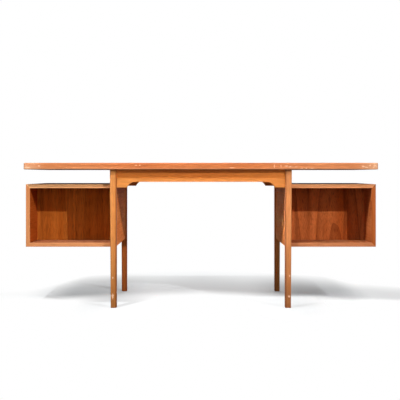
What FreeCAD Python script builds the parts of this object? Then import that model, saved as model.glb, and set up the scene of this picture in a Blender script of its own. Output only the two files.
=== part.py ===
# Teak executive desk: a floating top on a four-legged frame, with two pedestals hung between
# the legs. Each pedestal has an open bookshelf towards -Y and three drawers towards +Y.
# +X runs along the desk, +Z is up, and the origin is on the floor under the middle of the desk.
# All lengths are in millimetres.

import FreeCAD
import Part
import Sketcher
import math
import os
from types import SimpleNamespace

SIZES = {
    # The top: a veneered panel framed by four solid lippings
    "desk_height": 725,
    "top_length": 1762,
    "top_depth": 736,
    "top_overhang": 20.5,
    "top_thickness": 33,
    "lipping_width": 24,
    "top_corner_radius": 8,
    "top_edge_radius": 4,
    # The four legs, tapered on their two outer faces
    "knee_width": 843,
    "leg_width": 33,
    "leg_depth": 42,
    "foot_width": 29,
    "foot_depth": 36,
    "leg_edge_radius": 5,
    "foot_edge_radius": 3,
    # The front and rear rails, with a bracket at each end
    "rail_height": 62,
    "rail_thickness": 20,
    "rail_setback": 12,
    "bracket_drop": 28,
    "bracket_flat": 51,
    "bracket_run": 32,
    "bracket_hollow": 4.2,
    "tenon_thickness": 10,
    "tenon_shoulder": 8,
    # The cross rails between a front leg and a rear leg
    "cross_rail_gap": 22,
    "cross_rail_thickness": 20,
    "cross_rail_inset": 3,
    "cross_tenon_thickness": 8,
    "cross_tenon_length": 20,
    "cross_tenon_edge": 1.5,
    "mortise_wall": 2.5,
    # The pedestals: mitred cases with a shelf back let into grooves
    "top_gap": 74,
    "pedestal_height": 315,
    "pedestal_width": 453,
    "pedestal_inset": 6.5,
    "panel_thickness": 20,
    "panel_edge_radius": 1.5,
    "shelf_depth": 213,
    "shelf_back_thickness": 12,
    "shelf_back_groove": 6,
    "dowel_radius": 5,
    "dowel_length": 40,
    "dowel_margin": 50,
    # The drawers
    "drawer_gap": 2,
    "leg_clearance": 1.5,
    "filler_depth": 20,
    "drawer_rear_clearance": 9.5,
    "front_recess": 1.5,
    "front_thickness": 20,
    "front_edge_radius": 1.5,
    "front_cover": 6,
    "side_thickness": 13,
    "side_rise": 4,
    "side_drop": 10,
    "back_thickness": 12,
    "bottom_thickness": 5,
    "bottom_rise": 8,
    "bottom_groove": 5,
    "tail_flare": 2,
    # The crescent pull on each drawer front
    "pull_length": 170,
    "pull_depth": 22,
    "pull_height": 18,
    "pull_drop": 20,
    "pull_lip": 6,
    "pull_hollow_radius": 9,
    "pull_edge_radius": 4,
    # The runners that carry the drawers
    "runner_height": 8,
    "runner_groove": 6.5,
    "runner_groove_clearance": 0.5,
    "runner_clearance": 0.3,
    "runner_stop": 6,
    "runner_stop_clearance": 0.5,
    "runner_screw_radius": 1.6,
    "runner_screw_head_radius": 3,
    "runner_screw_head_height": 2,
    "runner_screw_grip": 14,
    "runner_screw_margin": 40,
    # The blocks that fix the top to the rails
    "block_length": 60,
    "block_width": 25,
    "block_height": 25,
    "block_offset": 110,
    "block_screw_radius": 2.2,
    "block_screw_head_radius": 4.2,
    "block_screw_head_height": 2.6,
    "block_screw_grip": 15,
    # Room by which a cut runs past the face that it opens
    "overrun": 1,
}

# Half the height of a dovetail at its root, as a share of the spacing of the dovetails
TAIL_SHARE = 0.3
# How close two places count as the same, as a share of the overrun
NEAR_SHARE = 0.05
TAIL_COUNT = 3
DOWEL_COUNT = 3
LEVELS = ("bottom", "middle", "top")
SIDES = {"left": -1, "right": 1}
ENDS = {"front": -1, "rear": 1}
HALF_ROOT = math.sqrt(0.5)

doc = FreeCAD.newDocument("ExecutiveDesk")
sheet = doc.addObject("Spreadsheet::Sheet", "Sizes")
for row, (word, number) in enumerate(SIZES.items(), 1):
    sheet.set("A%d" % row, word)
    sheet.set("B%d" % row, str(number))
    sheet.setAlias("B%d" % row, word)
doc.recompute()

pieces = []


class Dim:
    """A length: its present value, and the formula that ties it to the sheet."""

    def __init__(self, value, text):
        self.value = value
        self.text = text

    def joined(self, sign, other, value):
        tail = other.text if isinstance(other, Dim) else repr(other)
        return Dim(value, "(%s %s %s)" % (self.text, sign, tail))

    def __add__(self, other):
        return self.joined("+", other, self.value + other.value)

    def __sub__(self, other):
        return self.joined("-", other, self.value - other.value)

    def __mul__(self, other):
        factor = other.value if isinstance(other, Dim) else other
        return self.joined("*", other, self.value * factor)

    def __truediv__(self, other):
        divisor = other.value if isinstance(other, Dim) else other
        return self.joined("/", other, self.value / divisor)

    def __neg__(self):
        return Dim(-self.value, "(-1 * %s)" % self.text)


s = SimpleNamespace(**{word: Dim(sheet.get(word), "Sizes." + word) for word in SIZES})
ZERO = Dim(0.0, "0")


# Helpers that make bound features

def bind(feature, lengths):
    for prop, length in lengths.items():
        feature.setExpression(prop, length.text)
    return feature


def piece(feature, label):
    """Name a finished sub-part."""
    feature.Label = label
    pieces.append(feature)
    return feature


def across(side, near, far):
    """The span from near to far on one side of the middle plane, lower end first."""
    return (near, far) if side > 0 else (-far, -near)


def about(middle, half):
    return (middle - half, middle + half)


def slab(name, x, y, z):
    box = doc.addObject("Part::Box", name)
    return bind(box, {
        "Length": x[1] - x[0], "Width": y[1] - y[0], "Height": z[1] - z[0],
        "Placement.Base.x": x[0], "Placement.Base.y": y[0], "Placement.Base.z": z[0]})


AXIS_TURNS = {
    "+x": FreeCAD.Rotation(FreeCAD.Vector(0, 1, 0), 90),
    "-x": FreeCAD.Rotation(FreeCAD.Vector(0, 1, 0), -90),
    "+y": FreeCAD.Rotation(FreeCAD.Vector(1, 0, 0), -90),
    "+z": FreeCAD.Rotation(),
}


def turned(feature, start, axis):
    feature.Placement = FreeCAD.Placement(FreeCAD.Vector(), AXIS_TURNS[axis])
    return bind(feature, {"Placement.Base." + letter: place for letter, place in zip("xyz", start)})


def rod(name, radius, length, start, axis):
    cylinder = doc.addObject("Part::Cylinder", name)
    return turned(bind(cylinder, {"Radius": radius, "Height": length}), start, axis)


def screw(name, radius, head_radius, head_height, length, start, axis):
    """A countersunk screw whose head starts at the given point."""
    head = doc.addObject("Part::Cone", name + "_head")
    bind(head, {"Radius1": head_radius, "Radius2": radius, "Height": head_height})
    return fuse(name, [turned(head, start, axis), rod(name + "_shank", radius, length, start, axis)])


def fuse(name, shapes):
    joined = doc.addObject("Part::MultiFuse", name)
    joined.Shapes = shapes
    return joined


def group(name, links):
    gathered = doc.addObject("Part::Compound", name)
    gathered.Links = links
    return gathered


def cut(name, base, tools):
    less = doc.addObject("Part::Cut", name)
    less.Base = base
    less.Tool = tools[0] if len(tools) == 1 else group(name + "_tools", tools)
    return less


def flat(point):
    return FreeCAD.Vector(point[0].value, point[1].value, 0)


def arc_through(start, end, radius, side):
    """The short arc whose centre lies on the given side of the chord: 1 is left, -1 is right."""
    chord = end - start
    middle = (start + end) * 0.5
    normal = FreeCAD.Vector(-chord.y, chord.x, 0).normalize() * side
    reach = math.sqrt(max(radius * radius - chord.Length ** 2 / 4, 0))
    crown = middle - normal * (radius - reach)
    return Part.Arc(start, crown, end)


def outline(body, role, points, arcs, lift=None):
    """A closed sketch on one of the body's own planes, with every corner bound to the sheet."""
    sketch = body.newObject("Sketcher::SketchObject", body.Name + "_outline")
    plane = next(feature for feature in body.Origin.OriginFeatures if feature.Role == role)
    sketch.AttachmentSupport = (plane, [""])
    sketch.MapMode = "FlatFace"
    if lift is not None:
        bind(sketch, {"AttachmentOffset.Base.z": lift})
    count = len(points)
    corners = [flat(point) for point in points]
    for i in range(count):
        start, end = corners[i], corners[(i + 1) % count]
        if i in arcs:
            radius, side = arcs[i]
            sketch.addGeometry(arc_through(start, end, radius.value, side))
        else:
            sketch.addGeometry(Part.LineSegment(start, end))

    def end_at(edge, corner):
        gaps = [(sketch.getPoint(edge, place) - corner).Length for place in (1, 2)]
        return 1 if gaps[0] < gaps[1] else 2

    def bound(kind, word, length, *target):
        index = sketch.addConstraint(Sketcher.Constraint(kind, *target, length.value))
        sketch.renameConstraint(index, word)
        bind(sketch, {"Constraints." + word: length})

    for i, point in enumerate(points):
        here = end_at(i, corners[i])
        before = (i - 1) % count
        there = end_at(before, corners[i])
        sketch.addConstraint(Sketcher.Constraint("Coincident", before, there, i, here))
        bound("DistanceX", "across%d" % i, point[0], i, here)
        bound("DistanceY", "along%d" % i, point[1], i, here)
    for i, (radius, side) in arcs.items():
        bound("Radius", "bend%d" % i, radius, i)
    return sketch


def padded(name, role, points, length, arcs=None, lift=None, symmetric=False):
    body = doc.addObject("PartDesign::Body", name)
    sketch = outline(body, role, points, arcs or {}, lift)
    pad = body.newObject("PartDesign::Pad", name + "_pad")
    pad.Profile = sketch
    pad.SideType = "Symmetric" if symmetric else "One side"
    bind(pad, {"Length": length})
    sketch.Visibility = False
    doc.recompute()
    return body


def rounded(body, radius, wanted):
    """Round the edges of the body's last feature that the test picks."""
    base = body.Tip
    names = ["Edge%d" % (i + 1) for i, edge in enumerate(base.Shape.Edges) if wanted(edge)]
    fillet = body.newObject("PartDesign::Fillet", body.Name + "_round")
    fillet.Base = (base, names)
    bind(fillet, {"Radius": radius})
    doc.recompute()
    return body


def near(first, second):
    return abs(first - second) < s.overrun.value * NEAR_SHARE


def level_edge(edge, height):
    return near(edge.BoundBox.ZMin, height.value) and near(edge.BoundBox.ZMax, height.value)


# Places that several pieces share

leg_height = s.desk_height - s.top_thickness
leg_inner = s.knee_width / 2
leg_outer = leg_inner + s.leg_width
frame_half = s.top_depth / 2 - s.top_overhang
case_half = frame_half - s.leg_depth
case_inner = leg_inner + s.pedestal_inset
case_outer = case_inner + s.pedestal_width
case_top = leg_height - s.top_gap
case_bottom = case_top - s.pedestal_height
bay_inner = case_inner + s.panel_thickness
bay_outer = case_outer - s.panel_thickness
bay_top = case_top - s.panel_thickness
bay_bottom = case_bottom + s.panel_thickness
shelf_back_front = s.shelf_depth - case_half
shelf_back_rear = shelf_back_front + s.shelf_back_thickness


# The frame: rails first, because their tenons shape the legs' mortises

def long_rail(name, end):
    """A front or rear rail, cut away between its two bracket ends."""
    low = leg_height - s.rail_height
    foot = low - s.bracket_drop
    flat_end = leg_inner - s.bracket_flat
    arch_end = flat_end - s.bracket_run
    chord = s.bracket_run * s.bracket_run + s.bracket_drop * s.bracket_drop
    radius = chord / (s.bracket_hollow * 8) + s.bracket_hollow / 2
    points = [(-leg_inner, foot), (-flat_end, foot), (-arch_end, low), (arch_end, low),
              (flat_end, foot), (leg_inner, foot), (leg_inner, leg_height), (-leg_inner, leg_height)]
    board = padded(name + "_board", "XZ_Plane", points, s.rail_thickness,
                   arcs={1: (radius, -1), 3: (radius, -1)}, symmetric=True)
    middle = (frame_half - s.rail_setback - s.rail_thickness / 2) * end
    bind(board, {"Placement.Base.y": middle})
    reach = s.leg_width - s.cross_rail_inset - s.cross_tenon_edge - s.cross_tenon_thickness - s.mortise_wall
    tenons = []
    for side_name, side in SIDES.items():
        tenons.append(slab("%s_%s_tenon" % (name, side_name),
                           across(side, leg_inner, leg_inner + reach),
                           about(middle, s.tenon_thickness / 2),
                           (foot + s.tenon_shoulder, leg_height - s.tenon_shoulder)))
    return piece(fuse(name + "_solid", [board] + tenons), name)


def cross_rail(name, side):
    outer = leg_outer - s.cross_rail_inset
    low = leg_height - s.top_gap + s.cross_rail_gap
    board = slab(name + "_board", across(side, outer - s.cross_rail_thickness, outer),
                 (-case_half, case_half), (low, leg_height))
    tenon_outer = outer - s.cross_tenon_edge
    half = case_half + s.cross_tenon_length
    tenon = slab(name + "_tenon", across(side, tenon_outer - s.cross_tenon_thickness, tenon_outer),
                 (-half, half), (low + s.tenon_shoulder, leg_height - s.tenon_shoulder))
    return piece(fuse(name + "_solid", [board, tenon]), name)


def pedestal_dowels():
    """Dowels that pin each pedestal's inner side to the legs before and behind it."""
    rods = []
    middle = case_inner + s.panel_thickness / 2
    spacing = (s.pedestal_height - s.dowel_margin * 2) / (DOWEL_COUNT - 1)
    for side_name, side in SIDES.items():
        for end_name, end in ENDS.items():
            for i in range(DOWEL_COUNT):
                start = (middle * side, case_half * end - s.dowel_length / 2,
                         case_bottom + s.dowel_margin + spacing * i)
                rods.append(rod("dowel_%s_%s_%d" % (side_name, end_name, i), s.dowel_radius,
                                s.dowel_length, start, "+y"))
    return piece(group("dowel_group", rods), "pedestal_dowels")


def leg(name, side, end, tools):
    """A leg that tapers to its foot on the outer side and on the face away from the pedestal."""
    points = [(leg_inner * side, ZERO), ((leg_inner + s.foot_width) * side, ZERO),
              (leg_outer * side, leg_height), (leg_inner * side, leg_height)]
    body = padded(name + "_blank", "XZ_Plane", points, s.leg_depth, symmetric=True)
    bind(body, {"Placement.Base.y": (case_half + s.leg_depth / 2) * end})
    square = body.Tip.Shape.Volume
    face = s.leg_depth / 2
    waste = [(face * end, leg_height), ((s.foot_depth - face) * end, ZERO), (face * end, ZERO)]
    taper = body.newObject("PartDesign::Pocket", name + "_taper")
    taper.Profile = outline(body, "YZ_Plane", waste, {})
    taper.Type = "ThroughAll"
    taper.SideType = "Symmetric"
    doc.recompute()
    if taper.Shape.Volume >= square:
        raise RuntimeError(name + " was not tapered")
    rounded(body, s.leg_edge_radius, lambda edge: edge.BoundBox.ZLength > leg_height.value / 2)
    rounded(body, s.foot_edge_radius, lambda edge: level_edge(edge, ZERO))
    return piece(cut(name + "_solid", body, tools), name)


rails = {end_name: long_rail(end_name + "_rail", end) for end_name, end in ENDS.items()}
cross_rails = {side_name: cross_rail(side_name + "_cross_rail", side) for side_name, side in SIDES.items()}
dowels = pedestal_dowels()
for end_name, end in ENDS.items():
    for side_name, side in SIDES.items():
        leg("%s_%s_leg" % (end_name, side_name), side, end,
            [rails[end_name], cross_rails[side_name], dowels])


# The top and the blocks that fix it

def fixing_blocks():
    """Blocks glued behind the rails, each with a screw up into the top."""
    blocks = []
    screws = []
    far = leg_inner - s.block_offset
    rail_face = frame_half - s.rail_setback - s.rail_thickness
    low = leg_height - s.block_height
    for end_name, end in ENDS.items():
        for side_name, side in SIDES.items():
            name = "block_%s_%s" % (end_name, side_name)
            blocks.append(slab(name, across(side, far - s.block_length, far),
                               across(end, rail_face - s.block_width, rail_face), (low, leg_height)))
            start = ((far - s.block_length / 2) * side, (rail_face - s.block_width / 2) * end, low)
            screws.append(screw(name + "_screw", s.block_screw_radius, s.block_screw_head_radius,
                                s.block_screw_head_height, s.block_height + s.block_screw_grip,
                                start, "+z"))
    screw_group = piece(group("block_screw_group", screws), "top_fixing_screws")
    piece(cut("block_group", group("block_blanks", blocks), [screw_group]), "top_fixing_blocks")
    return screw_group


def lipping(name, half_run, half_reach, side, lengthwise):
    """A solid edge strip, mitred at both ends, with the top's corners and edges rounded."""
    bend = s.top_corner_radius
    tip = bend * (1 - HALF_ROOT)
    run_out = [(-half_run + tip, half_reach - tip), (-half_run + bend, half_reach),
               (half_run - bend, half_reach), (half_run - tip, half_reach - tip),
               (half_run - s.lipping_width, half_reach - s.lipping_width),
               (-half_run + s.lipping_width, half_reach - s.lipping_width)]
    if lengthwise:
        points = [(run, out * side) for run, out in run_out]
        turn = -side
    else:
        points = [(out * side, run) for run, out in run_out]
        turn = side
    body = padded(name + "_strip", "XY_Plane", points, s.top_thickness,
                  arcs={0: (bend, turn), 2: (bend, turn)}, lift=leg_height)
    edge_limit = half_reach.value - s.top_corner_radius.value

    def outer(edge):
        middle = edge.CenterOfMass
        reach = abs(middle.y if lengthwise else middle.x)
        flat_edge = level_edge(edge, leg_height) or level_edge(edge, s.desk_height)
        tangent_end = edge.BoundBox.DiagonalLength < bend.value * 2
        arc_end = tangent_end and isinstance(edge.Curve, Part.Circle)
        return flat_edge and reach > edge_limit and (arc_end or edge.Length > half_run.value)

    return piece(rounded(body, s.top_edge_radius, outer), name)


top_half_length = s.top_length / 2
top_half_depth = s.top_depth / 2
fixing_screws = fixing_blocks()
panel_half_length = top_half_length - s.lipping_width
panel_half_depth = top_half_depth - s.lipping_width
top_blank = slab("top_blank", (-panel_half_length, panel_half_length),
                 (-panel_half_depth, panel_half_depth), (leg_height, s.desk_height))
piece(cut("top_board", top_blank, [fixing_screws]), "top_panel")
for end_name, end in ENDS.items():
    lipping("top_%s_lipping" % end_name, top_half_length, top_half_depth, end, True)
for side_name, side in SIDES.items():
    lipping("top_%s_lipping" % side_name, top_half_depth, top_half_length, side, False)


# The drawers' places

box_inner = leg_outer + s.leg_clearance
box_outer = bay_outer - s.drawer_gap
front_height = (bay_top - bay_bottom - s.drawer_gap * (len(LEVELS) + 1)) / len(LEVELS)
front_face = case_half - s.front_recess
front_rear = front_face - s.front_thickness
box_rear = shelf_back_rear + s.drawer_rear_clearance
back_front = box_rear + s.back_thickness
side_height = front_height - s.side_rise - s.side_drop
back_rise = s.bottom_rise + s.bottom_thickness
back_height = side_height - back_rise
inner_reach = box_inner - bay_inner + s.runner_groove - s.runner_groove_clearance
outer_reach = s.drawer_gap + s.runner_groove - s.runner_groove_clearance
groove_front = front_rear - s.runner_stop
runner_front = groove_front - s.runner_stop_clearance


def front_bottom(level):
    return bay_bottom + s.drawer_gap + (front_height + s.drawer_gap) * level


def side_bottom(level):
    return front_bottom(level) + s.side_rise


def groove_middle(level):
    return side_bottom(level) + back_rise + back_height / 2


# The runners, screwed to the pedestals' sides

def runners(side_name, side):
    strips = []
    screws = []
    for level, level_name in enumerate(LEVELS):
        middle = groove_middle(level)
        for wall_name, wall, reach, inward in (("inner", bay_inner, inner_reach, 1),
                                               ("outer", bay_outer, outer_reach, -1)):
            name = "%s_%s_%s_runner" % (side_name, level_name, wall_name)
            face = wall + reach * inward
            x = across(side, wall, face) if inward > 0 else across(side, face, wall)
            strips.append(slab(name, x, (shelf_back_rear, runner_front),
                               about(middle, s.runner_height / 2)))
            axis = "-x" if inward * side > 0 else "+x"
            for i, place in enumerate((shelf_back_rear + s.runner_screw_margin,
                                       runner_front - s.runner_screw_margin)):
                screws.append(screw("%s_screw_%d" % (name, i), s.runner_screw_radius,
                                    s.runner_screw_head_radius, s.runner_screw_head_height,
                                    reach + s.runner_screw_grip,
                                    (face * side, place, middle), axis))
    screw_group = group(side_name + "_runner_screw_group", screws)
    blanks = group(side_name + "_runner_blanks", strips)
    piece(cut(side_name + "_runner_group", blanks, [screw_group]), side_name + "_drawer_runners")
    return screw_group


runner_screws = {side_name: runners(side_name, side) for side_name, side in SIDES.items()}
piece(group("runner_screw_group", list(runner_screws.values())), "runner_screws")
# Strips that bring the bay's inner wall out to the leg's outer face, which the drawers have to pass
fillers = [slab(side_name + "_filler_strip", across(side, bay_inner, leg_outer),
                (case_half - s.filler_depth, case_half), (bay_bottom, bay_top))
           for side_name, side in SIDES.items()]
piece(group("filler_group", fillers), "drawer_filler_strips")


# The pedestals

def pedestal(side_name, side):
    name = side_name + "_pedestal_"
    groove = s.shelf_back_groove
    shelf_back = slab(name + "shelf_back_board",
                      across(side, bay_inner - groove, bay_outer + groove),
                      (shelf_back_front, shelf_back_rear), (bay_bottom - groove, bay_top + groove))
    piece(shelf_back, name + "shelf_back")
    outer_corners = {"bi": (case_inner * side, case_bottom), "bo": (case_outer * side, case_bottom),
                     "ti": (case_inner * side, case_top), "to": (case_outer * side, case_top)}
    inner_corners = {"bi": (bay_inner * side, bay_bottom), "bo": (bay_outer * side, bay_bottom),
                     "ti": (bay_inner * side, bay_top), "to": (bay_outer * side, bay_top)}
    screws = runner_screws[side_name]
    panels = {"top": ("ti", "to", [shelf_back]), "bottom": ("bo", "bi", [shelf_back]),
              "inner_side": ("bi", "ti", [shelf_back, dowels, screws]),
              "outer_side": ("to", "bo", [shelf_back, screws])}
    for panel_name, (first, last, tools) in panels.items():
        points = [outer_corners[first], outer_corners[last], inner_corners[last], inner_corners[first]]
        body = padded(name + panel_name + "_board", "XZ_Plane", points, case_half * 2, symmetric=True)

        def end_edge(edge):
            box = edge.BoundBox
            at_end = near(abs(box.YMin), case_half.value) and near(box.YLength, 0)
            return at_end and (near(box.XLength, 0) or near(box.ZLength, 0))

        rounded(body, s.panel_edge_radius, end_edge)
        piece(cut(name + panel_name + "_solid", body, tools), name + panel_name)


for side_name, side in SIDES.items():
    pedestal(side_name, side)


# The drawers

def dovetail(name, x, y, middle, start_half, end_half):
    wedge = doc.addObject("Part::Wedge", name)
    return bind(wedge, {
        "Xmin": x[0], "Xmax": x[1], "X2min": x[0], "X2max": x[1], "Ymin": y[0], "Ymax": y[1],
        "Zmin": middle - start_half, "Zmax": middle + start_half,
        "Z2min": middle - end_half, "Z2max": middle + end_half})


def side_blank(name, x, low):
    """A drawer side with dovetails into the front and through the back."""
    high = low + side_height
    back_low = low + back_rise
    parts = [slab(name + "_core", x, (back_front, front_rear), (low, high)),
             slab(name + "_heel", x, (box_rear, back_front), (low, back_low))]
    front_step = side_height / TAIL_COUNT
    back_step = back_height / TAIL_COUNT
    for i in range(TAIL_COUNT):
        front_half = front_step * TAIL_SHARE
        parts.append(dovetail("%s_front_tail_%d" % (name, i), x,
                              (front_rear, front_face - s.front_cover),
                              low + front_step * (i + 0.5), front_half, front_half + s.tail_flare))
        back_half = back_step * TAIL_SHARE
        parts.append(dovetail("%s_back_tail_%d" % (name, i), x, (box_rear, back_front),
                              back_low + back_step * (i + 0.5), back_half + s.tail_flare, back_half))
    return fuse(name + "_blank", parts)


def pull(name, middle, low):
    """A crescent pull, hollowed from below for the fingertips."""
    half = s.pull_length / 2
    radius = (half * half + s.pull_depth * s.pull_depth) / (s.pull_depth * 2)
    ends = [(middle - half, front_face), (middle + half, front_face)]
    body = padded(name + "_crescent", "XY_Plane", ends, s.pull_height, arcs={1: (radius, 1)}, lift=low)
    rounded(body, s.pull_edge_radius, lambda edge: isinstance(edge.Curve, Part.Circle)
            and level_edge(edge, low + s.pull_height))
    ring = doc.addObject("Part::Torus", name + "_ring")
    bind(ring, {"Radius1": radius - s.pull_lip - s.pull_hollow_radius, "Radius2": s.pull_hollow_radius,
                "Placement.Base.x": middle, "Placement.Base.y": front_face + s.pull_depth - radius,
                "Placement.Base.z": low})
    room = slab(name + "_room", about(middle, half), (front_face, front_face + s.pull_depth),
                about(low, s.pull_height))
    hollow = doc.addObject("Part::Common", name + "_hollow")
    hollow.Base = ring
    hollow.Tool = room
    return cut(name + "_carved", body, [hollow])


def drawer(side_name, side, level, level_name):
    name = "%s_%s_drawer_" % (side_name, level_name)
    low = front_bottom(level)
    side_low = side_bottom(level)
    side_high = side_low + side_height
    floor_low = side_low + s.bottom_rise
    inset = s.side_thickness - s.bottom_groove
    floor = slab(name + "bottom_panel", across(side, box_inner + inset, box_outer - inset),
                 (box_rear, front_rear + s.bottom_groove), (floor_low, floor_low + s.bottom_thickness))
    piece(floor, name + "bottom")

    groove_z = about(groove_middle(level), s.runner_height / 2 + s.runner_clearance)
    groove_y = (box_rear - s.overrun, groove_front)
    walls = {"inner": (box_inner, box_inner + s.side_thickness,
                       box_inner - s.overrun, box_inner + s.runner_groove),
             "outer": (box_outer - s.side_thickness, box_outer,
                       box_outer - s.runner_groove, box_outer + s.overrun)}
    blanks = []
    for wall_name, (near_face, far_face, groove_near, groove_far) in walls.items():
        wall = name + wall_name + "_side"
        blank = side_blank(wall, across(side, near_face, far_face), side_low)
        groove = slab(wall + "_groove", across(side, groove_near, groove_far), groove_y, groove_z)
        piece(cut(wall + "_board", blank, [groove, floor]), wall)
        blanks.append(blank)

    back = slab(name + "back_blank", across(side, box_inner, box_outer), (box_rear, back_front),
                (side_low + back_rise, side_high))
    piece(cut(name + "back_board", back, blanks), name + "back")

    x = across(side, box_inner, box_outer)
    high = low + front_height
    points = [(x[0], low), (x[1], low), (x[1], high), (x[0], high)]
    board = padded(name + "front_board", "XZ_Plane", points, s.front_thickness, symmetric=True)
    rounded(board, s.front_edge_radius,
            lambda edge: near(edge.BoundBox.YMin, s.front_thickness.value / 2))
    bind(board, {"Placement.Base.y": front_face - s.front_thickness / 2})
    pull_low = high - s.pull_drop - s.pull_height
    grip = pull(name + "pull", (x[0] + x[1]) / 2, pull_low)
    whole = fuse(name + "front_with_pull", [board, grip])
    piece(cut(name + "front_solid", whole, blanks + [floor]), name + "front")


for side_name, side in SIDES.items():
    for level, level_name in enumerate(LEVELS):
        drawer(side_name, side, level, level_name)


# Check every feature, then write one file for each sub-part

doc.recompute()
for feature in doc.Objects:
    faults = [state for state in feature.State if state in ("Invalid", "Error")]
    if faults:
        raise RuntimeError("%s did not build: %s" % (feature.Label, faults))
for part in pieces:
    if part.Shape.isNull() or not part.Shape.isValid() or not part.Shape.Solids:
        raise RuntimeError("%s has no sound solid" % part.Label)
os.makedirs("parts", exist_ok=True)
for part in pieces:
    part.Shape.exportStep("parts/%s.step" % part.Label)
print("%d sub-parts written" % len(pieces))
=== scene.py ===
"""Finishes for the teak desk, its small fixings, and a plain studio to show it in."""

import math

import bpy
from bpy.props import FloatProperty, FloatVectorProperty, PointerProperty
from mathutils import Matrix, Vector


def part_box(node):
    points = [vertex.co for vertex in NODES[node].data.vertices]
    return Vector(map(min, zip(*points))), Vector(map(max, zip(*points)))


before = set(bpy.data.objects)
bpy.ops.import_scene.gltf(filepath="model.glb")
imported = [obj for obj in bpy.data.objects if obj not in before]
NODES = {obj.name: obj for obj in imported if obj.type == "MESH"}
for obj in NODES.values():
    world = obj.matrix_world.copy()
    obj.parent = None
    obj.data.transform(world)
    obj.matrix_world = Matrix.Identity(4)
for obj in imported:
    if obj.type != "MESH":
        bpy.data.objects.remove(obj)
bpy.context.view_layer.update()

bl_info = {
    "name": "Teak desk finish",
    "version": (1, 0, 0),
    "blender": (4, 5, 0),
    "location": "3D View > Sidebar > Desk",
    "description": "Finishes a two-pedestal teak desk and sets it in a plain studio",
    "category": "Object",
}

HANDS = ("left", "right")
LEVELS = ("bottom", "middle", "top")

# How a board lies: the directions of its length, its width and its thickness
LAYS = {
    "flat": ((1, 0, 0), (0, 1, 0), (0, 0, 1)),
    "face": ((1, 0, 0), (0, 0, 1), (0, -1, 0)),
    "upright": ((0, 0, 1), (1, 0, 0), (0, 1, 0)),
    "side": ((0, 1, 0), (0, 0, 1), (1, 0, 0)),
    "shelf": ((0, 1, 0), (1, 0, 0), (0, 0, -1)),
}

# How often each part of the grain changes in a metre, along the board and then across it
GRAIN_STRETCH = {
    "sway": (1.1, 7.0, 7.0),
    "drift": (0.7, 11.0, 11.0),
    "streaks": (0.45, 36.0, 36.0),
    "fibres": (9.0, 330.0, 330.0),
    "pores": (24.0, 640.0, 640.0),
}
# Scale of a wave texture whose rings are a metre wide
METRE_RINGS = 0.314
# The strongest that any channel of a board's colour may be
PALEST = 0.9
# Ring width, figure, streaks and pores of the solid edging, and its slope to the board
EDGING_CUT = (0.006, 0.1, 0.02, 0.4)
EDGING_TILT = 0.6

# How the boards of each kind are cut, where they differ from the usual
TOP_CUT = {"ring_width": 0.012, "figure": 0.4, "streaks": 0.25, "tilt": 0.8}
LIPPING_CUT = {"figure": 0.14, "streaks": 0.06, "pores": 0.5}
LEG_CUT = {"ring_width": 0.007, "figure": 0.12, "streaks": 0.06, "pores": 0.5}
RAIL_CUT = {"ring_width": 0.008, "figure": 0.1, "streaks": 0.05, "pores": 0.5}
CROSS_RAIL_CUT = {"ring_width": 0.008, "figure": 0.2}
PEDESTAL_CUT = {"figure": 0.3, "streaks": 0.3, "pores": 0.4, "leaf": 0.16, "reach": 3.0,
                "specular": 0.005}
DRAWER_FRONT_CUT = {"ring_width": 0.009, "figure": 0.4, "streaks": 0.3, "tilt": 1.6}
DRAWER_BOX_CUT = {"ring_width": 0.006, "figure": 0.25, "streaks": 0.1, "pores": 0.7}
PLYWOOD_CUT = {"ring_width": 0.016, "figure": 0.3, "streaks": 0.1, "pores": 0.5}
BEECH_CUT = {"ring_width": 0.004, "figure": 0.12, "streaks": 0.0, "pores": 0.4}
STRIP_CUT = {"figure": 0.2, "streaks": 0.1}

# Knocks on the front edge of the top: place along it, height, half length and half height
KNOCKS = (
    (-0.862, 0.7016, 0.018, 0.0040), (-0.804, 0.7090, 0.007, 0.0035),
    (-0.322, 0.7130, 0.007, 0.0018), (-0.303, 0.7130, 0.004, 0.0024),
    (0.152, 0.7000, 0.016, 0.0018), (0.365, 0.7085, 0.0026, 0.0100),
    (0.398, 0.7075, 0.0026, 0.0070), (0.424, 0.7085, 0.011, 0.0030),
    (0.444, 0.7065, 0.011, 0.0026), (0.472, 0.7048, 0.018, 0.0014),
    (0.502, 0.6985, 0.007, 0.0022), (0.524, 0.6978, 0.005, 0.0018),
    (0.551, 0.6982, 0.018, 0.0014), (0.807, 0.7066, 0.008, 0.0040),
    (0.8215, 0.7031, 0.010, 0.0028), (0.840, 0.7115, 0.004, 0.0040),
    (0.865, 0.7110, 0.008, 0.0045), (0.861, 0.7040, 0.011, 0.0034),
)
KNOCK_DEPTH = 0.004
# Chips near the front feet: their middle, and their reach each way
CHIPS = {
    "front_left_leg": (((-0.4392, -0.345, 0.153), (0.005, 0.03, 0.005)),
                       ((-0.4402, -0.345, 0.059), (0.006, 0.03, 0.014))),
    "front_right_leg": (((0.4432, -0.345, 0.160), (0.004, 0.03, 0.006)),
                        ((0.4417, -0.345, 0.058), (0.006, 0.03, 0.006))),
}

# Tone of each leg and rail, as the strength of its red, green and blue. The leg tones paint light
# and shade: the front right leg darker than the front left, the rear legs in shade redder, and the
# rear right one lighter.
LEG_LIGHT_AND_SHADE_TONES = {
    "front_left_leg": (1.05, 1.13, 1.15),
    "front_right_leg": (0.9, 0.88, 1.02),
    "rear_left_leg": (1.14, 0.74, 0.48),
    "rear_right_leg": (1.37, 1.2, 1.15),
}
RAIL_TONES = {"front_rail": (0.9, 0.86, 0.66), "rear_rail": (1.05, 0.82, 0.62)}

# How the boards of a pedestal lie, and then their edging
PEDESTAL_LAYS = {
    "top": ("shelf", "face"),
    "bottom": ("shelf", "face"),
    "inner_side": ("side", "upright"),
    "outer_side": ("side", "upright"),
}
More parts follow.
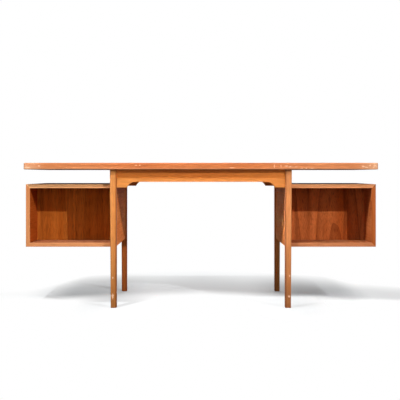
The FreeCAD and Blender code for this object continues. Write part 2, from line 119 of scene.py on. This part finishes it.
# Tone of each board of a pedestal, and then of its edging. The tones paint light and shade: the
# pedestal tops, in the shade of the desk top, painted dark; the inner sides painted pale for the
# light and sheen on them; the upper edging painted lighter; the right pedestal's lower and outer
# edging painted darker.
PEDESTAL_LIGHT_AND_SHADE_TONES = {
    ("left", "top"): ((0.4, 0.36, 0.3), (1.15, 1.25, 1.3)),
    ("left", "bottom"): ((1.0, 1.6, 4.2), (1.0, 1.0, 1.0)),
    ("left", "inner_side"): ((2.3, 2.45, 2.95), (1.0, 1.0, 1.0)),
    ("left", "outer_side"): ((0.95, 0.8, 0.65), (0.92, 0.88, 0.84)),
    ("right", "top"): ((0.4, 0.36, 0.3), (1.15, 1.2, 1.3)),
    ("right", "bottom"): ((0.93, 1.38, 3.2), (0.74, 0.62, 0.6)),
    ("right", "inner_side"): ((2.1, 2.9, 4.6), (1.0, 1.0, 1.0)),
    ("right", "outer_side"): ((0.98, 1.18, 2.1), (0.62, 0.4, 0.26)),
}
PEDESTAL_CALM = 0.55
# The seed that the boards of each pedestal count up from
PEDESTAL_SEEDS = {"left": 22, "right": 27}
# Seed, tone and cut of each shelf back. The tones paint the shelf backs, which lie in shade,
# lighter, the left and right ones in different colours for the light each gets.
SHELF_BACKS = {
    "left": (26, (1.35, 1.54, 1.2), {"ring_width": 0.026, "figure": 0.3, "streaks": 0.6,
                                     "leaf": 0.2, "tilt": 2.0, "reach": 1.8}),
    "right": (38, (1.25, 1.34, 1.95), {"ring_width": 0.04, "figure": 0.55, "streaks": 0.7,
                                       "leaf": 0.3, "tilt": 4.0}),
}
DRAWER_FRONT_TONE = (1.25, 1.25, 1.2)

# Place, target, width and spread in degrees of each lamp
LAMPS = {
    "right lamp": ((1.873, -2.675, 2.0), (-1.0, -0.3, 0.45), 0.06, 100.0),
    "left lamp": ((-1.15, -1.88, 2.9), (0.2, -0.2, 0.45), 0.08, 180.0),
    "side lamp": ((-3.0, -2.05, 2.3), (0.6, -0.15, 0.36), 0.16, 18.0),
    "front lamp": ((0.0, -5.3, 0.9), (0.0, -0.2, 0.45), 1.4, 180.0),
    "back lamp": ((0.3, 3.4, 2.0), (0.0, 0.3, 0.45), 1.8, 180.0),
}
WHITE = (1.0, 1.0, 1.0, 1.0)
FLOOR_SIZE = 24.0


def tint(red, green, blue):
    """A display colour from 0 to 255 as the linear values that Blender mixes."""
    def linear(part):
        part = part / 255
        return part / 12.92 if part <= 0.04045 else ((part + 0.055) / 1.055) ** 2.4
    return (linear(red), linear(green), linear(blue))


def colour_prop(name, description, default):
    """A colour to choose in the panel."""
    return FloatVectorProperty(name=name, description=description, default=default,
                               subtype="COLOR", size=3, min=0.0, max=1.0)


def lamp_prop(name, description, default):
    """The power of a lamp, to set in the panel."""
    return FloatProperty(name=name, description=description, default=default, min=0.0,
                         unit="POWER")


class DeskFinish(bpy.types.PropertyGroup):
    """Colours and grain of the desk's timbers."""

    lipping_pale: colour_prop(
        "Lipping, pale", "Palest wood of the lipping round the top", tint(214, 135, 83))
    lipping_mid: colour_prop(
        "Lipping, middle", "Usual wood of the lipping round the top", tint(196, 112, 61))
    edge_pale: colour_prop(
        "Edging, pale", "Palest wood of the pedestals' edging", tint(230, 162, 110))
    edge_mid: colour_prop(
        "Edging, middle", "Usual wood of the pedestals' edging", tint(216, 138, 86))
    frame_pale: colour_prop(
        "Frame teak, pale", "Palest wood of the legs and rails", tint(230, 152, 86))
    frame_mid: colour_prop(
        "Frame teak, middle", "Usual wood of the legs and rails", tint(212, 128, 64))
    veneer_pale: colour_prop(
        "Veneer, pale", "Palest wood of the veneered panels", tint(198, 108, 48))
    veneer_mid: colour_prop(
        "Veneer, middle", "Usual wood of the veneered panels", tint(166, 80, 28))
    streak: colour_prop(
        "Dark streaks", "Late wood and dark mineral streaks", tint(104, 42, 12))
    bare_wood: colour_prop(
        "Bare wood", "Wood where the oil has worn away", tint(238, 190, 152))
    box_pale: colour_prop(
        "Drawer timber, pale", "Palest wood of the drawer boxes", tint(234, 186, 124))
    box_mid: colour_prop(
        "Drawer timber, middle", "Usual wood of the drawer boxes", tint(214, 156, 94))
    leaf_width: FloatProperty(
        name="Veneer leaf", description="Width of one leaf of veneer on the top",
        default=0.183, min=0.05, unit="LENGTH")
    edging_depth: FloatProperty(
        name="Edging depth", description="Depth of the solid edging on the pedestals",
        default=0.007, min=0.002, unit="LENGTH")


class DeskStudio(bpy.types.PropertyGroup):
    """Camera, lamps and floor."""

    camera_place: FloatVectorProperty(
        name="Camera", description="Where the camera stands",
        default=(-0.0042, -4.8975, 0.6694), subtype="TRANSLATION", unit="LENGTH")
    focal_length: FloatProperty(
        name="Lens", description="Focal length in millimetres on a 36 mm sensor",
        default=82.1, min=20.0)
    camera_shift: FloatProperty(
        name="Shift", description="Upright shift of the lens, as a share of the picture",
        default=-0.065)
    right_lamp: lamp_prop("Right lamp", "Power of the small lamp at the right", 24.0)
    left_lamp: lamp_prop("Left lamp", "Power of the small lamp at the left", 78.0)
    side_lamp: lamp_prop("Side lamp", "Power of the narrow lamp far to the left", 0.9)
    front_lamp: lamp_prop("Front lamp", "Power of the wide lamp behind the camera", 10.0)
    back_lamp: lamp_prop("Back lamp", "Power of the wide lamp behind the desk", 34.0)
    room_light: FloatProperty(
        name="Room light", description="Strength of the light from all round",
        default=0.38, min=0.0)
    floor_tone: colour_prop("Floor", "Colour of the studio floor", tint(218, 222, 224))


def new_group(name, inputs, outputs):
    """An empty shader group with named sockets, and its two ends."""
    tree = bpy.data.node_groups.new(name, "ShaderNodeTree")
    for way, sockets in (("INPUT", inputs), ("OUTPUT", outputs)):
        for socket, kind in sockets:
            tree.interface.new_socket(socket, in_out=way, socket_type="NodeSocket" + kind)
    return (tree, tree.nodes.new("NodeGroupInput").outputs,
            tree.nodes.new("NodeGroupOutput").inputs)


def feed(tree, socket, value):
    """Links a socket to another, or sets it to a plain value."""
    if isinstance(value, bpy.types.NodeSocket):
        tree.links.new(value, socket)
    else:
        socket.default_value = value


def add(tree, kind, inputs=(), **options):
    """Adds one shader node with its options, and feeds its inputs."""
    node = tree.nodes.new("ShaderNode" + kind)
    node.location = (200 * (len(tree.nodes) % 12), -260 * (len(tree.nodes) // 12))
    for name, value in options.items():
        setattr(node, name, value)
    for key, value in dict(inputs).items():
        feed(tree, node.inputs[key], value)
    return node


def sums(tree, operation, first, second=0.0, clamp=False, third=0.0):
    """One step of arithmetic on numbers."""
    return add(tree, "Math", {0: first, 1: second, 2: third}, operation=operation,
               use_clamp=clamp).outputs[0]


def moved(tree, operation, first, second):
    """One step of arithmetic on places."""
    return add(tree, "VectorMath", {0: first, 1: second}, operation=operation).outputs[0]


def length(tree, vector):
    """How long a vector is."""
    return add(tree, "VectorMath", {0: vector}, operation="LENGTH").outputs["Value"]


def parts(tree, vector):
    """The three parts of a vector."""
    return add(tree, "SeparateXYZ", {0: vector}).outputs


def spread(tree, value, low, high, to_low=0.0, to_high=1.0, smooth=False):
    """Spreads a band of values over another band, and holds it there."""
    node = add(tree, "MapRange", {"Value": value, "From Min": low, "From Max": high,
                                  "To Min": to_low, "To Max": to_high}, clamp=True)
    if smooth:
        node.interpolation_type = "SMOOTHSTEP"
    return node.outputs[0]


def blended(tree, share, first, second, way="MIX"):
    """Two colours in one, by the share of the second."""
    node = add(tree, "Mix", data_type="RGBA", blend_type=way)
    for index, value in ((0, share), (6, first), (7, second)):
        if index > 0 and not isinstance(value, bpy.types.NodeSocket):
            value = tuple(value)[:3] + (1.0,)
        feed(tree, node.inputs[index], value)
    return node.outputs[2]


def times(tree, colour, by):
    """A colour made stronger or weaker."""
    return blended(tree, 1.0, colour, by, "MULTIPLY")


def noise(tree, place, stretch, detail, output="Fac"):
    """Noise in a place that is stretched along the grain."""
    return add(tree, "TexNoise", {"Vector": moved(tree, "MULTIPLY", place, stretch),
                                  "Scale": 1.0, "Detail": detail}).outputs[output]


def seen_rays(tree):
    """One for the rays that carry the page to the camera, straight or by way of a surface."""
    path = add(tree, "LightPath").outputs
    seen = sums(tree, "ADD", path["Is Camera Ray"], path["Is Glossy Ray"])
    return sums(tree, "ADD", seen, path["Is Transmission Ray"], True)


def wood_grain_group():
    """Growth rings, slow changes of tone, dark streaks, fibres and pores of one board."""
    tree, given, put = new_group(
        "Wood grain",
        (("Along", "Vector"), ("Pale", "Color"), ("Middle", "Color"), ("Dark", "Color"),
         ("Ring Width", "Float"), ("Figure", "Float"), ("Streaks", "Float"), ("Pores", "Float")),
        (("Color", "Color"), ("Roughness", "Float"), ("Height", "Float")))
    along = given["Along"]
    sway = noise(tree, along, GRAIN_STRETCH["sway"], 2.0, "Color")
    sway = moved(tree, "SUBTRACT", sway, (0.5, 0.5, 0.5))
    bent = moved(tree, "ADD", along, moved(tree, "MULTIPLY", sway, (0.0, 0.02, 0.02)))
    rings = add(tree, "TexWave", {
        "Vector": moved(tree, "MULTIPLY", bent, (0.05, 1.0, 1.0)),
        "Scale": sums(tree, "DIVIDE", METRE_RINGS, given["Ring Width"]),
        "Distortion": 3.0, "Detail": 2.0, "Detail Scale": 0.7, "Detail Roughness": 0.55,
    }, wave_type="RINGS", rings_direction="X", wave_profile="SAW").outputs["Fac"]
    late = sums(tree, "POWER", rings, 2.4)
    drift = spread(tree, noise(tree, bent, GRAIN_STRETCH["drift"], 2.0), 0.34, 0.66)
    streaks = spread(tree, noise(tree, bent, GRAIN_STRETCH["streaks"], 3.0), 0.52, 0.74,
                     smooth=True)
    fibres = noise(tree, along, GRAIN_STRETCH["fibres"], 2.0)
    pores = spread(tree, noise(tree, along, GRAIN_STRETCH["pores"], 0.0), 0.58, 0.70)
    pores = sums(tree, "MULTIPLY", pores, given["Pores"])
    colour = blended(tree, drift, given["Pale"], given["Middle"])
    for lines, strength in ((late, given["Figure"]), (streaks, given["Streaks"])):
        share = sums(tree, "MULTIPLY", lines, strength, True)
        colour = blended(tree, share, colour, given["Dark"])
    shade = spread(tree, fibres, 0.25, 0.75, 0.86, 1.12)
    shade = sums(tree, "MULTIPLY", shade, spread(tree, pores, 0.0, 1.0, 1.0, 0.6))
    colour = times(tree, colour, shade)
    rough = spread(tree, fibres, 0.3, 0.7, 0.62, 0.52)
    rough = sums(tree, "ADD", rough, sums(tree, "MULTIPLY", pores, 0.2))
    height = sums(tree, "SUBTRACT", sums(tree, "MULTIPLY", fibres, 0.6), pores)
    height = sums(tree, "SUBTRACT", height, sums(tree, "MULTIPLY", late, 0.25))
    for name, value in (("Color", colour), ("Roughness", rough), ("Height", height)):
        tree.links.new(value, put[name])
    return tree


def scuff_group():
    """One ragged scuff where the finish has been knocked off."""
    tree, given, put = new_group(
        "Scuff", (("Position", "Vector"), ("Centre", "Vector"), ("Reach", "Vector")),
        (("Mask", "Float"),))
    offset = moved(tree, "SUBTRACT", given["Position"], given["Centre"])
    distance = length(tree, moved(tree, "DIVIDE", offset, given["Reach"]))
    ragged = noise(tree, given["Position"], (160.0, 160.0, 260.0), 3.0)
    ragged = sums(tree, "MULTIPLY", sums(tree, "SUBTRACT", ragged, 0.5), 2.4)
    distance = sums(tree, "ADD", distance, ragged)
    tree.links.new(spread(tree, distance, 1.0, 0.55, smooth=True), put["Mask"])
    return tree


def shared_group(name, maker):
    """A node group that is made once and used by many materials."""
    return bpy.data.node_groups.get(name) or maker()


def new_material(name):
    """A material with only a Principled shader, and its tree."""
    material = bpy.data.materials.new(name)
    material.use_nodes = True
    tree = material.node_tree
    tree.nodes.clear()
    shader = add(tree, "BsdfPrincipled")
    tree.links.new(shader.outputs[0], add(tree, "OutputMaterial").inputs["Surface"])
    return material, tree, shader.inputs


def board_place(tree, lay, seed, tilt=0.0):
    """Object coordinates turned so that X runs with the grain of a board cut near the heart.
    The seed sets how far along the log the board lies, and how far off its heart."""
    place = add(tree, "TexCoord").outputs["Object"]
    turn = Matrix(LAYS[lay]).to_euler()
    heart = (seed * 0.731 % 3.0,
             0.03 + 0.05 * (seed * 0.37 % 1.0),
             0.05 + 0.04 * (seed * 0.61 % 1.0))
    laid = add(tree, "Mapping",
               {"Vector": place, "Location": heart, "Rotation": turn}).outputs[0]
    if tilt:
        turn = (0.0, math.radians(tilt), 0.0)
        laid = add(tree, "Mapping", {"Vector": laid, "Rotation": turn}).outputs[0]
    return place, laid


def leaf_place(tree, laid, width):
    """Splits a wide panel into leaves of veneer, each from its own part of the log."""
    part = parts(tree, laid)
    number = sums(tree, "FLOOR", sums(tree, "DIVIDE", part[1], width))
    chance = add(tree, "TexWhiteNoise", {"W": number}, noise_dimensions="1D").outputs["Value"]
    middle = sums(tree, "MULTIPLY", sums(tree, "ADD", number, 0.5), width)
    within = sums(tree, "SUBTRACT", part[1], middle)
    shifted = sums(tree, "ADD", part[0], sums(tree, "MULTIPLY", chance, 4.0))
    return add(tree, "CombineXYZ", {0: shifted, 1: within, 2: part[2]}).outputs[0], chance


def grain(tree, along, shades, cut):
    """The grain of a board, from its shades and from its ring width, figure, streaks and pores."""
    names = ("Along", "Pale", "Middle", "Dark", "Ring Width", "Figure", "Streaks", "Pores")
    values = (along, *[tuple(shade) + (1.0,) for shade in shades], *cut)
    return add(tree, "Group", dict(zip(names, values)),
               node_tree=shared_group("Wood grain", wood_grain_group)).outputs


def scuff_mask(tree, place, scuffs):
    """One where any of the scuffs has bared the wood."""
    worn = None
    for centre, extent in scuffs:
        mark = add(tree, "Group", {"Position": place, "Centre": centre, "Reach": extent},
                   node_tree=shared_group("Scuff", scuff_group)).outputs[0]
        worn = mark if worn is None else sums(tree, "MAXIMUM", worn, mark)
    return worn


def wood(name, lay, seed, shades, ring_width=0.011, figure=0.35, streaks=0.2, pores=1.0, tilt=1.2,
         reach=1.0, leaf=0.0, edging=None, touch=None, scuffs=(), bare=None, specular=0.12):
    """One board's material. Shades are its pale, middle and dark colours, reach draws its figure
    out along the grain, and touch changes its colour by place."""
    material, tree, shader = new_material(name)
    place, laid = board_place(tree, lay, seed, tilt)
    if reach != 1.0:
        laid = moved(tree, "MULTIPLY", laid, (1.0 / reach, 1.0, 1.0))
    if leaf:
        laid, chance = leaf_place(tree, laid, leaf)
    board = grain(tree, laid, shades, (ring_width, figure, streaks, pores))
    colour, rough = board["Color"], board["Roughness"]
    if leaf:
        colour = times(tree, colour, spread(tree, chance, 0.0, 1.0, 0.9, 1.08))
    if edging:
        edge_lay, edge_shades, start = edging
        edge_place = board_place(tree, edge_lay, seed + 5.0, EDGING_TILT)[1]
        strip = grain(tree, edge_place, edge_shades, EDGING_CUT)
        depth = sums(tree, "ABSOLUTE", parts(tree, place)[1])
        mask = sums(tree, "GREATER_THAN", depth, start)
        colour = blended(tree, mask, colour, strip["Color"])
    if touch:
        colour = touch(tree, place, colour)
    if scuffs:
        worn = scuff_mask(tree, place, scuffs)
        colour = blended(tree, worn, colour, bare)
        rough = sums(tree, "ADD", rough, sums(tree, "MULTIPLY", worn, 0.25))
    bump = add(tree, "Bump", {"Height": board["Height"], "Strength": 0.25, "Distance": 0.0004})
    for socket, value in (("Base Color", colour), ("Roughness", rough),
                          ("Specular IOR Level", specular), ("Normal", bump.outputs[0])):
        feed(tree, shader[socket], value)
    return material


def shades_of(look, kind):
    """Pale, middle and dark colour of a kind of teak."""
    return (getattr(look, kind + "_pale"), getattr(look, kind + "_mid"), look.streak)


def toned(shades, tone):
    """Shades with their red, green and blue made stronger or weaker."""
    return tuple(tuple(min(part * by, PALEST) for part, by in zip(shade, tone))
                 for shade in shades)


def calmed(shades, share):
    """Shades drawn towards their middle one, for a quieter board."""
    return tuple(tuple(part + (middle - part) * share for part, middle in zip(shade, shades[1]))
                 for shade in shades)


def worn_ends(bare):
    """A lipping that is deeper in colour in the middle, and rubbed pale towards both ends of the
    top and along its lower edge."""
    middle_tone, outer_tone = (0.9, 0.83, 0.76), (1.0, 1.07, 1.18)
    ends_rubbed, edge_rubbed = 0.62, 0.3

    def touch(tree, place, colour):
        part = parts(tree, place)
        aside = sums(tree, "ABSOLUTE", part[0])
        outward = spread(tree, aside, 0.22, 0.6, smooth=True)
        colour = times(tree, colour, blended(tree, outward, middle_tone, outer_tone))
        ends = spread(tree, aside, 0.775, 0.87, 0.0, ends_rubbed)
        edge = spread(tree, part[2], 0.6985, 0.694, 0.0, edge_rubbed)
        cloud = spread(tree, noise(tree, place, (34.0, 34.0, 90.0), 3.0), 0.3, 0.7, 0.45, 1.0)
        rubbed = sums(tree, "MULTIPLY", sums(tree, "MAXIMUM", ends, edge), cloud)
        return blended(tree, rubbed, colour, bare)
    return touch


def leg_painted_shade(inner):
    """A leg with painted shade: darker towards the floor, darker near the top where the top's
    shadow falls, and darker on its inner side."""
    # Painted shade near the floor, painted shadow of the top near the head, and painted shade on
    # the inner side
    foot_shade, top_shadow, side_shade = 0.56, 0.89, (0.62, 0.5, 0.4)
    side_end, side_start = inner + 0.0075, inner + 0.0035

    def touch(tree, place, colour):
        part = parts(tree, place)
        colour = times(tree, colour, spread(tree, part[2], 0.0, 0.36, foot_shade, 1.0))
        colour = times(tree, colour, spread(tree, part[2], 0.53, 0.63, 1.0, top_shadow))
        side = spread(tree, sums(tree, "ABSOLUTE", part[0]), side_end, side_start)
        return blended(tree, side, colour, times(tree, colour, side_shade))
    return touch


def rail_painted_shade(tree, place, colour):
    """Colour painted in bands along the two shadow lines that the top throws on a rail: the band
    in the top's full shadow is painted lighter and redder, and the band in one lamp's shadow a
    deeper orange.
    """
    # Painted shade: tones for the lit band, the band in one lamp's shadow, and the band in full
    # shadow
    lit_band_tone, middle_tone, full_shadow_paint = (1.0, 1.0, 1.0), (1.03, 0.86, 0.62), (1.28, 1.08, 0.92)
    height = parts(tree, place)[2]
    tone = blended(tree, spread(tree, height, 0.6465, 0.6505), lit_band_tone, middle_tone)
    tone = blended(tree, spread(tree, height, 0.6755, 0.6785), tone, full_shadow_paint)
    return times(tree, colour, tone)


def steel(name):
    """Turned steel of the screws, with a little tarnish."""
    material, tree, shader = new_material(name)
    place = add(tree, "TexCoord").outputs["Object"]
    tarnish = noise(tree, place, (220.0, 220.0, 220.0), 3.0)
    lines = noise(tree, place, (2400.0, 2400.0, 300.0), 1.0)
    bump = add(tree, "Bump", {"Height": lines, "Strength": 0.2, "Distance": 0.0002})
    colour = blended(tree, tarnish, tint(176, 172, 164), tint(128, 122, 112))
    rough = spread(tree, tarnish, 0.3, 0.7, 0.28, 0.5)
    for socket, value in (("Base Color", colour), ("Roughness", rough), ("Metallic", 1.0),
                          ("Normal", bump.outputs[0])):
        feed(tree, shader[socket], value)
    return material


def plain(node):
    """The name of a node in plain words."""
    return node.replace("_", " ")


def finish(node, material):
    """Gives a CAD node its finish."""
    slots = NODES[node].material_slots
    if not slots:
        raise RuntimeError(f"{node} has no material slot")
    for slot in slots:
        slot.material = material


class DESK_OT_finish_top(bpy.types.Operator):
    """Veneer the top and oil its solid lipping, with the knocks along its front edge"""

    bl_idname = "desk.finish_top"
    bl_label = "Finish the top"

    def execute(self, context):
        look = context.scene.desk_finish
        finish("top_panel", wood("top veneer", "flat", 1, shades_of(look, "veneer"),
                                 leaf=look.leaf_width, **TOP_CUT))
        edge = shades_of(look, "lipping")
        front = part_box("top_front_lipping")[0][1]
        knocks = [((x, front, z), (long, KNOCK_DEPTH, high)) for x, z, long, high in KNOCKS]
        finish("top_front_lipping", wood(
            "front lipping", "face", 2, edge, touch=worn_ends(look.bare_wood), scuffs=knocks,
            bare=look.bare_wood, **LIPPING_CUT))
        finish("top_rear_lipping", wood("rear lipping", "face", 3, edge, **LIPPING_CUT))
        for seed, hand in enumerate(HANDS, 4):
            finish(f"top_{hand}_lipping",
                   wood(f"{hand} end lipping", "side", seed, edge, **LIPPING_CUT))
        return {"FINISHED"}


class DESK_OT_finish_frame(bpy.types.Operator):
    """Oil the solid teak legs and rails, with the chips near the feet"""

    bl_idname = "desk.finish_frame"
    bl_label = "Finish the legs and rails"

    def execute(self, context):
        look = context.scene.desk_finish
        shades = shades_of(look, "frame")
        for seed, (leg, tone) in enumerate(LEG_LIGHT_AND_SHADE_TONES.items(), 11):
            inner = min(abs(corner[0]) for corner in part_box(leg))
            finish(leg, wood(plain(leg), "upright", seed, toned(shades, tone),
                             touch=leg_painted_shade(inner), scuffs=CHIPS.get(leg, ()),
                             bare=look.bare_wood, **LEG_CUT))
        for seed, (rail, tone) in enumerate(RAIL_TONES.items(), 15):
            finish(rail, wood(plain(rail), "face", seed, toned(shades, tone), touch=rail_painted_shade,
                              **RAIL_CUT))
        for seed, hand in enumerate(HANDS, 17):
            rail = f"{hand}_cross_rail"
            finish(rail, wood(plain(rail), "side", seed, shades, **CROSS_RAIL_CUT))
        return {"FINISHED"}


class DESK_OT_finish_pedestals(bpy.types.Operator):
    """Veneer the pedestals, with a solid edging round each opening"""

    bl_idname = "desk.finish_pedestals"
    bl_label = "Finish the pedestals"

    def execute(self, context):
        look = context.scene.desk_finish
        veneer = shades_of(look, "veneer")
        edge = shades_of(look, "edge")
        for hand in HANDS:
            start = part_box(f"{hand}_pedestal_top")[1][1] - look.edging_depth
            for seed, (part, lays) in enumerate(PEDESTAL_LAYS.items(), PEDESTAL_SEEDS[hand]):
                board = f"{hand}_pedestal_{part}"
                # These tones paint light and shade into the board and its edging
                tone, edge_tone = PEDESTAL_LIGHT_AND_SHADE_TONES[hand, part]
                finish(board, wood(
                    plain(board), lays[0], seed, calmed(toned(veneer, tone), PEDESTAL_CALM),
                    edging=(lays[1], toned(edge, edge_tone), start), **PEDESTAL_CUT))
            seed, tone, cut = SHELF_BACKS[hand]
            finish(f"{hand}_pedestal_shelf_back",
                   wood(f"{hand} shelf back", "upright", seed, toned(veneer, tone), specular=0.0,
                        **cut))
        return {"FINISHED"}


class DESK_OT_finish_drawers(bpy.types.Operator):
    """Oil the drawer fronts and seal the drawer boxes"""

    bl_idname = "desk.finish_drawers"
    bl_label = "Finish the drawers"

    def execute(self, context):
        look = context.scene.desk_finish
        teak = toned(shades_of(look, "veneer"), DRAWER_FRONT_TONE)
        box = (look.box_pale, look.box_mid, tint(156, 100, 52))
        ply = (tint(222, 172, 112), tint(200, 144, 86), tint(150, 100, 54))
        boards = (
            ("front", "face", teak, DRAWER_FRONT_CUT),
            ("inner_side", "side", box, DRAWER_BOX_CUT),
            ("outer_side", "side", box, DRAWER_BOX_CUT),
            ("back", "face", box, DRAWER_BOX_CUT),
            ("bottom", "flat", ply, PLYWOOD_CUT),
        )
        seed = 41
        for hand in HANDS:
            for level in LEVELS:
                for part, lay, shades, cut in boards:
                    seed += 1
                    board = f"{hand}_{level}_drawer_{part}"
                    finish(board, wood(plain(board), lay, seed, shades, **cut))
        return {"FINISHED"}


class DESK_OT_finish_fixings(bpy.types.Operator):
    """Finish the runners, blocks, dowels, strips and screws"""

    bl_idname = "desk.finish_fixings"
    bl_label = "Finish the fixings"

    def execute(self, context):
        look = context.scene.desk_finish
        beech = (tint(222, 178, 132), tint(204, 156, 110), tint(166, 116, 74))
        lays = {"left_drawer_runners": "side", "right_drawer_runners": "side",
                "top_fixing_blocks": "face", "pedestal_dowels": "side"}
        for seed, (node, lay) in enumerate(lays.items(), 81):
            finish(node, wood(plain(node), lay, seed, beech, **BEECH_CUT))
        strips = "drawer_filler_strips"
        finish(strips, wood(plain(strips), "upright", 85, shades_of(look, "frame"), **STRIP_CUT))
        screws = steel("screw steel")
        for node in ("top_fixing_screws", "runner_screws"):
            finish(node, screws)
        return {"FINISHED"}


def aim(thing, target):
    """Turns a lamp to face a place."""
    direction = Vector(target) - thing.location
    thing.rotation_euler = direction.to_track_quat("-Z", "Y").to_euler()


class DESK_OT_set_stage(bpy.types.Operator):
    """Lay the floor, hang the lamps and set up the camera"""

    bl_idname = "desk.set_stage"
    bl_label = "Set the stage"

    def execute(self, context):
        studio = context.scene.desk_studio
        self.lay_floor(studio)
        self.light_room(context.scene, studio)
        for name, (place, target, size, angle) in LAMPS.items():
            bpy.ops.object.light_add(type="AREA", location=place)
            lamp = bpy.context.object
            lamp.name = name
            lamp.data.shape = "DISK"
            lamp.data.size = size
            lamp.data.spread = math.radians(angle)
            lamp.data.energy = getattr(studio, name.replace(" ", "_"))
            aim(lamp, target)
        bpy.ops.object.camera_add(location=studio.camera_place,
                                  rotation=(math.pi / 2, 0.0, 0.0))
        camera = bpy.context.object
        camera.name = "front camera"
        camera.data.sensor_width = 36.0
        camera.data.lens = studio.focal_length
        camera.data.shift_y = studio.camera_shift
        context.scene.camera = camera
        context.scene.view_settings.view_transform = "Standard"
        return {"FINISHED"}

    def lay_floor(self, studio):
        """Lays a floor that shows the soft shadow of the desk and fades to the white page."""
        bpy.ops.object.select_all(action="DESELECT")
        bpy.ops.mesh.primitive_plane_add(size=FLOOR_SIZE)
        floor = bpy.context.object
        floor.name = "studio_floor"
        material, tree, shader = new_material("studio floor")
        place = add(tree, "TexCoord").outputs["Object"]
        part = parts(tree, place)
        wide = sums(tree, "ABSOLUTE", part[0])
        fade = self.floor_fade(tree, place, part, wide)
        seen = seen_rays(tree)
        mottle = noise(tree, place, (0.6, 0.6, 0.6), 2.0)
        shown = blended(tree, mottle, studio.floor_tone, tint(228, 232, 234))
        shown = blended(tree, fade, shown, (0.0, 0.0, 0.0))
        # The seen floor glows a little under the knee space, and as white as the page when faded
        glow = spread(tree, wide, 0.25, 0.6, 0.26, 0.03, smooth=True)
        glow = sums(tree, "MULTIPLY_ADD", glow, sums(tree, "SUBTRACT", 1.0, fade), third=fade)
        for socket, value in (
                ("Base Color", blended(tree, seen, tint(96, 96, 96), shown)),
                ("Roughness", 0.9), ("Specular IOR Level", 0.0), ("Emission Color", WHITE),
                ("Emission Strength", sums(tree, "MULTIPLY", glow, seen))):
            feed(tree, shader[socket], value)
        floor.data.materials.append(material)

    def floor_fade(self, tree, place, part, wide):
        """How far the seen floor has turned to plain white, from none to one."""
        bend, line, widening = 0.45, 0.6, 0.4
        behind = sums(tree, "MULTIPLY_ADD", wide, bend, third=part[1])
        behind = sums(tree, "SUBTRACT", behind, line)
        behind = sums(tree, "MULTIPLY", behind,
                      sums(tree, "MULTIPLY_ADD", wide, widening, third=1.0))
        # In front it fades less round each foot, in a patch that is longer than it is wide
        foot_aside, patch_squeeze, patch_shift = 0.438, 0.4, 0.088
        beside = sums(tree, "SUBTRACT", wide, foot_aside)
        along = sums(tree, "MULTIPLY_ADD", part[1], patch_squeeze, third=patch_shift)
        foot = length(tree, add(tree, "CombineXYZ", {0: beside, 1: along}).outputs[0])
        fade = sums(tree, "MULTIPLY", spread(tree, behind, -0.12, -0.55, smooth=True),
                    spread(tree, foot, 0.05, 0.3, 0.5, 1.2, smooth=True))
        # It fades too behind the desk, past its left end, past its right end and far away
        for value, low, high, most in (
                (behind, 0.05, 1.35, 1.0), (part[0], -0.7, -1.0, 0.9),
                (part[0], 0.78, 0.95, 0.504), (length(tree, place), 1.25, 1.7, 1.0)):
            more = spread(tree, value, low, high, 0.0, most, smooth=True)
            fade = sums(tree, "ADD", fade, more, True)
        return fade

    def light_room(self, scene, studio):
        """Lights the desk evenly from all round, on a page that is seen as plain white."""
        world = bpy.data.worlds.new("studio room")
        world.use_nodes = True
        scene.world = world
        tree = world.node_tree
        tree.nodes.clear()
        room = add(tree, "Background", {"Color": WHITE, "Strength": studio.room_light})
        page = add(tree, "Background", {"Color": WHITE, "Strength": 1.0})
        mixed = add(tree, "MixShader", {0: seen_rays(tree), 1: room.outputs[0],
                                        2: page.outputs[0]})
        tree.links.new(mixed.outputs[0], add(tree, "OutputWorld").inputs["Surface"])


OPERATORS = (DESK_OT_finish_top, DESK_OT_finish_frame, DESK_OT_finish_pedestals,
             DESK_OT_finish_drawers, DESK_OT_finish_fixings, DESK_OT_set_stage)


class DESK_PT_finish(bpy.types.Panel):
    """The desk's finishes and its studio"""

    bl_idname = "DESK_PT_finish"
    bl_label = "Teak desk"
    bl_space_type = "VIEW_3D"
    bl_region_type = "UI"
    bl_category = "Desk"

    def draw(self, context):
        for operator in OPERATORS:
            self.layout.operator(operator.bl_idname)
        for group in (context.scene.desk_finish, context.scene.desk_studio):
            column = self.layout.column()
            for name in group.__annotations__:
                column.prop(group, name)


CLASSES = (DeskFinish, DeskStudio, *OPERATORS, DESK_PT_finish)


def register():
    for cls in CLASSES:
        bpy.utils.register_class(cls)
    bpy.types.Scene.desk_finish = PointerProperty(type=DeskFinish)
    bpy.types.Scene.desk_studio = PointerProperty(type=DeskStudio)


def unregister():
    del bpy.types.Scene.desk_finish
    del bpy.types.Scene.desk_studio
    for cls in reversed(CLASSES):
        bpy.utils.unregister_class(cls)


def clear_startup():
    """Takes away the cube, lamp and camera that a new file may hold."""
    for name in ("Cube", "Light", "Camera"):
        thing = bpy.data.objects.get(name)
        if thing:
            bpy.data.objects.remove(thing)


def main():
    register()
    clear_startup()
    for step in ("finish_top", "finish_frame", "finish_pedestals", "finish_drawers",
                 "finish_fixings", "set_stage"):
        getattr(bpy.ops.desk, step)()


if __name__ == "__main__":
    main()
